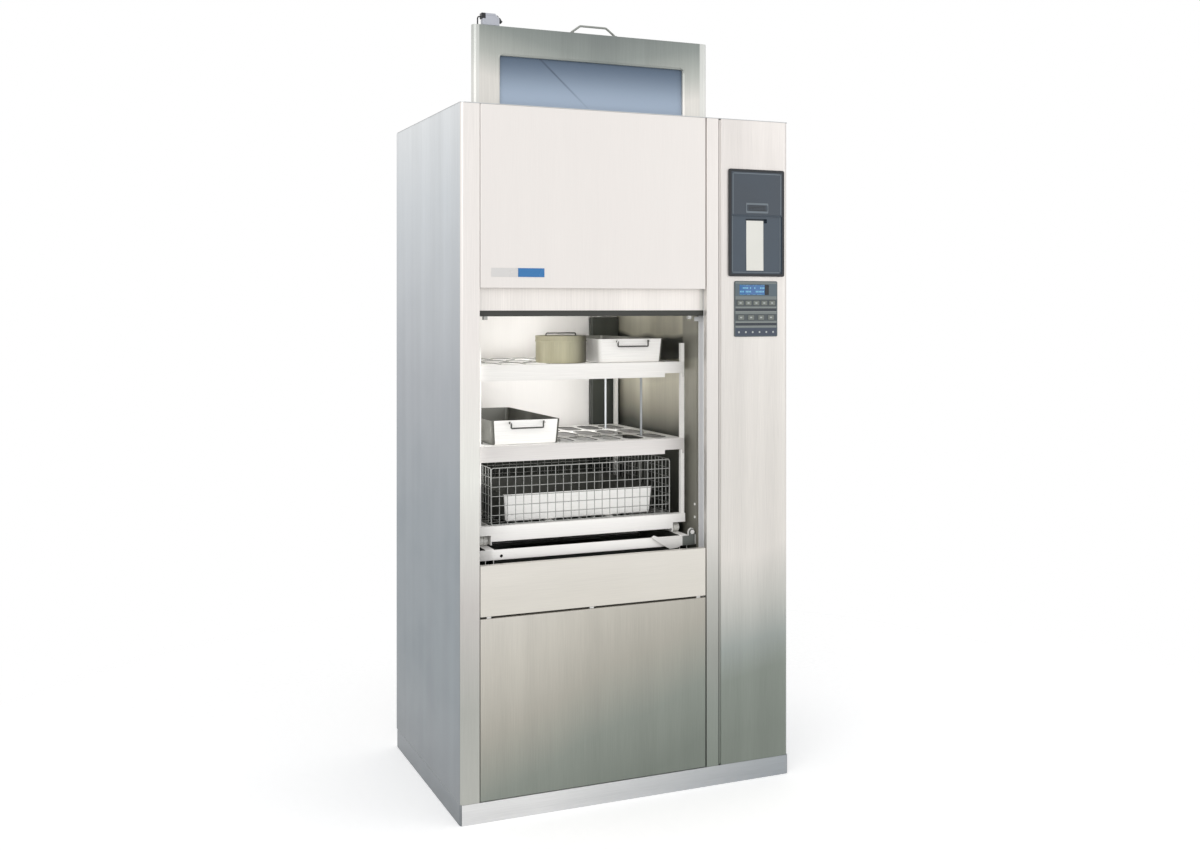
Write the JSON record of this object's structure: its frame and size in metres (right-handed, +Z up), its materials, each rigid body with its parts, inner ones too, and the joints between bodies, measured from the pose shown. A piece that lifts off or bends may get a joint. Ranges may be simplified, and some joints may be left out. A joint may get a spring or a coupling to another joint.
{
  "type": "washer disinfector",
  "caption": "Floor-standing stainless cabinet with a vertically sliding glass door, a wash chamber with a wheeled tray rack, and a side column with printer and keypad.",
  "frame": {"origin": "on the floor under the middle of the overall box", "axes": "+Z up, the door and the controls face -Y, and the control column is at +X"},
  "size_m": [1.05, 0.7219, 2.2623],
  "materials": {
    "panel": "fine upright brushing, satin",
    "galvanised": "zinc coated, dull",
    "dull_steel": "mill finish, dull",
    "chamber_steel": "smooth satin",
    "heater_tube": "heat-stained tube",
    "pump_paint": "enamel, semi-gloss",
    "grey_paint": "powder coat, matt",
    "bright_steel": "polished satin",
    "tray_steel": "bright satin",
    "lift_tube": "drawn and anodised",
    "door_steel": "satin",
    "pane": "clear, tempered",
    "seal": "matt",
    "grey_plastic": "moulded, matt",
    "lead_sheath": "smooth sheath",
    "roller": "nylon, matt",
    "drum_metal": "worn satin",
    "bezel_plastic": "moulded, matt",
    "printer_plastic": "moulded, satin",
    "paper": "paper, matt",
    "pad_film": "printed film, matt",
    "key_cap": "moulded, matt"
  },
  "bodies": {
    "cabinet": {"plinth": "panel", "inner_frame": "galvanised", "left_side_panel": "panel", "right_side_panel": "panel", "top_cover": "panel", "back_panel": "dull_steel", "upper_front_panel": "panel", "middle_front_panel": "panel", "lower_front_panel": "panel", "right_post": "panel", "control_column": "panel", "chamber": "chamber_steel", "heater": "heater_tube", "wash_pump": "pump_paint", "water_column": "dull_steel", "dryer_blower": "galvanised", "control_box": "grey_paint", "door_guide_left": "bright_steel", "door_guide_right": "bright_steel", "door_lift_cylinder": "lift_tube", "rail_frame": "bright_steel", "printer_bezel": "bezel_plastic", "paper_strip": "paper", "keypad": "pad_film"},
    "door": {"door_frame": "door_steel", "door_glass": "pane", "door_seal": "seal", "door_bail": "bright_steel", "sensor_box": "grey_plastic", "sensor_lead": "lead_sheath"},
    "rack": {"rack_frame": "bright_steel", "middle_shelf": "bright_steel", "upper_shelf": "bright_steel", "basket_front": "bright_steel", "basket_rear": "bright_steel", "basket_left": "bright_steel", "basket_right": "bright_steel", "basket_floor": "bright_steel", "inner_tray": "tray_steel", "upper_tray": "tray_steel", "middle_tray": "tray_steel", "round_container": "drum_metal"},
    "front_wheels": {"front_wheelset": "roller"},
    "rear_wheels": {"rear_wheelset": "roller"},
    "lever": {"latch_lever": "bright_steel"},
    "printer_lid": {"printer_cover": "printer_plastic"},
    "arm_bottom": {"spray_arm_bottom": "bright_steel"},
    "arm_middle": {"spray_arm_middle": "bright_steel"},
    "arm_upper": {"spray_arm_upper": "bright_steel"},
    "upper_handle": {"upper_tray_handle": "bright_steel"},
    "middle_handle": {"middle_tray_handle": "bright_steel"},
    "key_1_1_cap": {"key_1_1": "key_cap"},
    "key_1_2_cap": {"key_1_2": "key_cap"},
    "key_1_3_cap": {"key_1_3": "key_cap"},
    "key_1_4_cap": {"key_1_4": "key_cap"},
    "key_1_5_cap": {"key_1_5": "key_cap"},
    "key_2_1_cap": {"key_2_1": "key_cap"},
    "key_2_2_cap": {"key_2_2": "key_cap"},
    "key_2_3_cap": {"key_2_3": "key_cap"},
    "key_2_4_cap": {"key_2_4": "key_cap"}
  },
  "joints": [
    {"name": "door_slide", "type": "slide", "parent": "cabinet", "child": "door", "axis": [0, 0, 1], "range_m": [-0.71, 0]},
    {"name": "rack_slide", "type": "slide", "parent": "cabinet", "child": "rack", "axis": [0, -1, 0], "range_m": [0, 0.45]},
    {"name": "front_wheel_turn", "type": "hinge", "parent": "rack", "child": "front_wheels", "pos_m": [-0.113, -0.22605, 0.762], "axis": [1, 0, 0], "range_deg": [0, 1845]},
    {"name": "rear_wheel_turn", "type": "hinge", "parent": "rack", "child": "rear_wheels", "pos_m": [-0.113, 0.23595, 0.762], "axis": [1, 0, 0], "range_deg": [0, 1845]},
    {"name": "lever_turn", "type": "hinge", "parent": "cabinet", "child": "lever", "pos_m": [0.22, -0.29905, 0.756], "axis": [0, -1, 0], "range_deg": [-90, 0]},
    {"name": "printer_lid_turn", "type": "hinge", "parent": "cabinet", "child": "printer_lid", "pos_m": [0.411, -0.36005, 1.8457], "axis": [-1, 0, 0], "range_deg": [0, 90]},
    {"name": "arm_bottom_spin", "type": "hinge", "parent": "cabinet", "child": "arm_bottom", "pos_m": [-0.113, 0.00495, 0.721], "axis": [0, 0, 1], "continuous": true},
    {"name": "arm_middle_spin", "type": "hinge", "parent": "rack", "child": "arm_middle", "pos_m": [-0.113, 0.00495, 1.016], "axis": [0, 0, 1], "continuous": true},
    {"name": "arm_upper_spin", "type": "hinge", "parent": "rack", "child": "arm_upper", "pos_m": [-0.113, 0.00495, 1.249], "axis": [0, 0, 1], "continuous": true},
    {"name": "upper_handle_swing", "type": "hinge", "parent": "rack", "child": "upper_handle", "pos_m": [0.048, -0.24805, 1.3333], "axis": [-1, 0, 0], "range_deg": [0, 90]},
    {"name": "middle_handle_swing", "type": "hinge", "parent": "rack", "child": "middle_handle", "pos_m": [-0.29, -0.24805, 1.1003], "axis": [-1, 0, 0], "range_deg": [0, 90]},
    {"name": "key_1_1_press", "type": "slide", "parent": "cabinet", "child": "key_1_1_cap", "axis": [0, 1, 0], "range_m": [0, 0.001], "stiffness_N_per_m": 400, "springref_m": -0.0005},
    {"name": "key_1_2_press", "type": "slide", "parent": "cabinet", "child": "key_1_2_cap", "axis": [0, 1, 0], "range_m": [0, 0.001], "stiffness_N_per_m": 400, "springref_m": -0.0005},
    {"name": "key_1_3_press", "type": "slide", "parent": "cabinet", "child": "key_1_3_cap", "axis": [0, 1, 0], "range_m": [0, 0.001], "stiffness_N_per_m": 400, "springref_m": -0.0005},
    {"name": "key_1_4_press", "type": "slide", "parent": "cabinet", "child": "key_1_4_cap", "axis": [0, 1, 0], "range_m": [0, 0.001], "stiffness_N_per_m": 400, "springref_m": -0.0005},
    {"name": "key_1_5_press", "type": "slide", "parent": "cabinet", "child": "key_1_5_cap", "axis": [0, 1, 0], "range_m": [0, 0.001], "stiffness_N_per_m": 400, "springref_m": -0.0005},
    {"name": "key_2_1_press", "type": "slide", "parent": "cabinet", "child": "key_2_1_cap", "axis": [0, 1, 0], "range_m": [0, 0.001], "stiffness_N_per_m": 400, "springref_m": -0.0005},
    {"name": "key_2_2_press", "type": "slide", "parent": "cabinet", "child": "key_2_2_cap", "axis": [0, 1, 0], "range_m": [0, 0.001], "stiffness_N_per_m": 400, "springref_m": -0.0005},
    {"name": "key_2_3_press", "type": "slide", "parent": "cabinet", "child": "key_2_3_cap", "axis": [0, 1, 0], "range_m": [0, 0.001], "stiffness_N_per_m": 400, "springref_m": -0.0005},
    {"name": "key_2_4_press", "type": "slide", "parent": "cabinet", "child": "key_2_4_cap", "axis": [0, 1, 0], "range_m": [0, 0.001], "stiffness_N_per_m": 400, "springref_m": -0.0005}
  ],
  "couplings": [
    {"joint": "front_wheel_turn", "follows": "rack_slide", "rad_per_m": 71.429},
    {"joint": "rear_wheel_turn", "follows": "rack_slide", "rad_per_m": 71.429}
  ]
}
